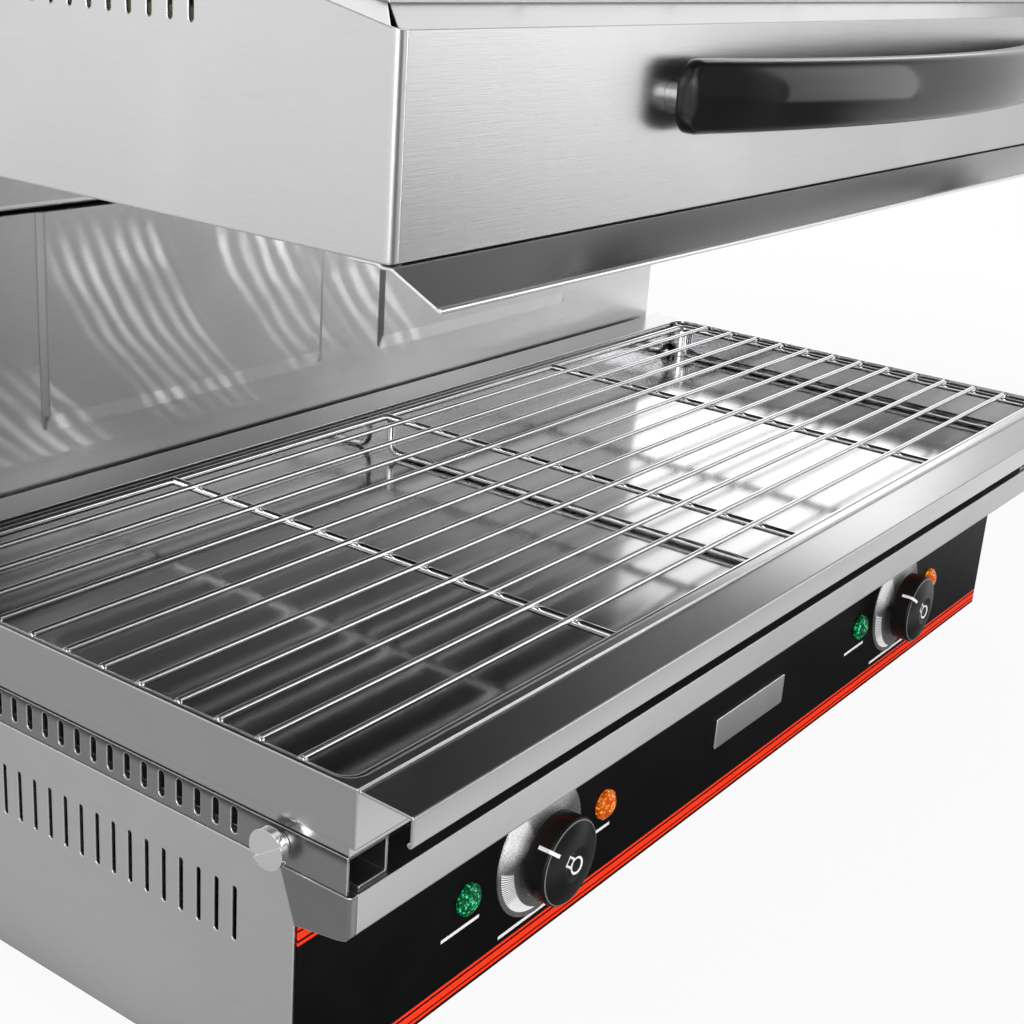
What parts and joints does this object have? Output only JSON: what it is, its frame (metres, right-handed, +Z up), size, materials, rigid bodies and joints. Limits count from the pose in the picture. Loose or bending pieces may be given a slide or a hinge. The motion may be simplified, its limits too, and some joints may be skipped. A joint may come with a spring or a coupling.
{
  "type": "rise-and-fall salamander grill",
  "caption": "Bench salamander grill with a lift head on a rear column, wire rack over a sliding spillage pan, bowed black handle and a dial with lamps for each heating zone.",
  "frame": {"origin": "centre of the bounding box on the bench plane under the feet", "axes": "+X to the right seen from the front, +Y to the back, +Z up"},
  "size_m": [0.816, 0.5149, 0.5403],
  "materials": {
    "satin_steel": "brushed stainless sheet",
    "hidden_steel": "plain rolled sheet",
    "pan_steel": "polished basin, brushed rim",
    "bright_steel": "polished",
    "zinc_plate": "bright zinc",
    "bronze": "sintered",
    "heater_sheath": "dull heat-tinted tube",
    "black_gloss": "smooth gloss",
    "black_nylon": "moulded",
    "foot_rubber": "matt",
    "badge_silver": "fine satin",
    "white_mark": "white",
    "ceramic": "glazed",
    "green_lens": "faceted lens",
    "amber_lens": "faceted lens",
    "mineral_wool": "fibre board"
  },
  "bodies": {
    "base": {"bottom_plate": "hidden_steel", "left_side_panel": "satin_steel", "right_side_panel": "satin_steel", "front_rail": "satin_steel", "control_panel": "hidden_steel", "fascia": "black_gloss", "badge_plate": "badge_silver", "dial_plates": "badge_silver", "thermostats": "zinc_plate", "green_lamps": "green_lens", "amber_lamps": "amber_lens", "base_top_cover": "hidden_steel", "base_rear_panel": "hidden_steel", "feet": "foot_rubber", "terminal_block": "ceramic", "cable_gland": "black_nylon", "left_channel": "satin_steel", "right_channel": "satin_steel", "screw_tabs": "hidden_steel", "left_cheek": "satin_steel", "right_cheek": "satin_steel", "lower_column_panel": "satin_steel", "upper_column_panel": "satin_steel", "column_back_cover": "hidden_steel", "column_cap": "satin_steel", "guide_rods": "bright_steel", "rod_blocks": "zinc_plate", "left_spring": "zinc_plate", "right_spring": "zinc_plate"},
    "head": {"head_front_panel": "satin_steel", "head_left_side": "satin_steel", "head_right_side": "satin_steel", "head_top_cover": "satin_steel", "cover_screws": "bright_steel", "head_rear_panel": "satin_steel", "reflector": "bright_steel", "insulation": "mineral_wool", "visor": "satin_steel", "handle": "black_gloss", "handle_bosses": "bright_steel", "left_element": "heater_sheath", "right_element": "heater_sheath", "element_hangers": "bright_steel", "lift_arms": "zinc_plate", "carriage": "zinc_plate", "bushes": "bronze", "terminal_covers": "satin_steel"},
    "left_dial": {"left_knob": "black_gloss", "left_spindle": "zinc_plate", "left_pointer": "white_mark"},
    "right_dial": {"right_knob": "black_gloss", "right_spindle": "zinc_plate", "right_pointer": "white_mark"},
    "left_screw": {"left_thumb_screw": "bright_steel"},
    "right_screw": {"right_thumb_screw": "bright_steel"},
    "spillage_pan": {"pan": "pan_steel"},
    "rack": {"rack_frame": "bright_steel", "rack_wires": "bright_steel", "rack_legs": "bright_steel"}
  },
  "joints": [
    {"name": "head_lift", "type": "slide", "parent": "base", "child": "head", "axis": [0, 0, 1], "range_m": [-0.1, 0.02], "deforming": ["left_spring", "right_spring"]},
    {"name": "left_dial_turn", "type": "hinge", "parent": "base", "child": "left_dial", "pos_m": [-0.2188, -0.1952, 0.0734], "axis": [0, 1, 0], "range_deg": [0, 270]},
    {"name": "right_dial_turn", "type": "hinge", "parent": "base", "child": "right_dial", "pos_m": [0.2252, -0.1952, 0.0734], "axis": [0, 1, 0], "range_deg": [0, 270]},
    {"name": "left_screw_turn", "type": "hinge", "parent": "base", "child": "left_screw", "pos_m": [-0.404, -0.1648, 0.1556], "axis": [-1, 0, 0], "range_deg": [0, 180]},
    {"name": "right_screw_turn", "type": "hinge", "parent": "base", "child": "right_screw", "pos_m": [0.404, -0.1648, 0.1556], "axis": [1, 0, 0], "range_deg": [0, 180]},
    {"name": "pan_slide", "type": "slide", "parent": "base", "child": "spillage_pan", "axis": [0, -1, 0], "range_m": [0, 0.28]},
    {"name": "rack_lift", "type": "slide", "parent": "spillage_pan", "child": "rack", "axis": [0, 0, 1], "range_m": [0, 0.08]}
  ]
}
